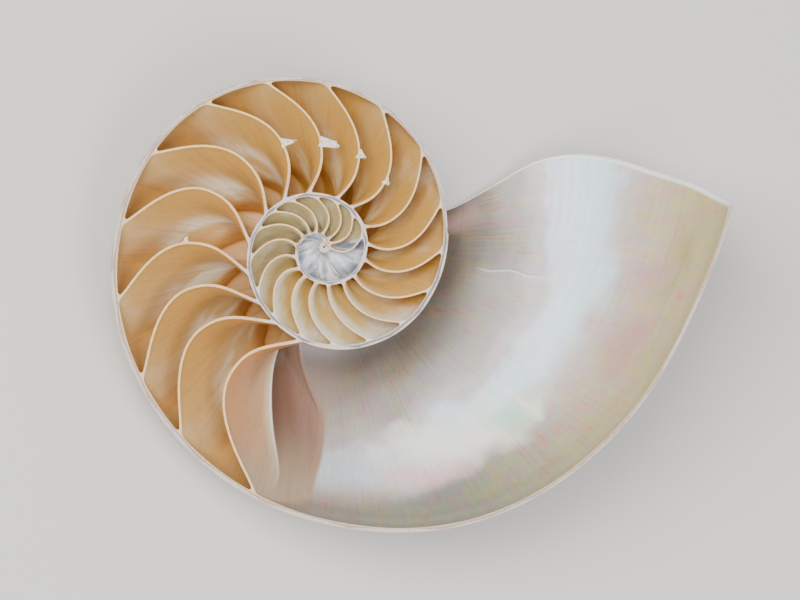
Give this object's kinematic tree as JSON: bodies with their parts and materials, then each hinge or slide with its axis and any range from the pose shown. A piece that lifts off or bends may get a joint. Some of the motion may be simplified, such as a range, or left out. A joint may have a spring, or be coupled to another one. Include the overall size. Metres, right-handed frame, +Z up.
{
  "type": "nautilus shell half",
  "caption": "Half of a chambered spiral sea shell, sawn along its middle plane, open side up with its chamber walls showing.",
  "frame": {"origin": "middle of the bounding box on the surface that the shell lies on", "axes": "+Z up from that surface; +X along the length, from the coil to the lip; the sawn face looks up, leaning a little towards -X and -Y"},
  "size_m": [0.1656, 0.1232, 0.0577],
  "materials": {
    "nacre": "pearly, satin to gloss"
  },
  "bodies": {
    "root": {"shell_half": "nacre"}
  },
  "joints": []
}
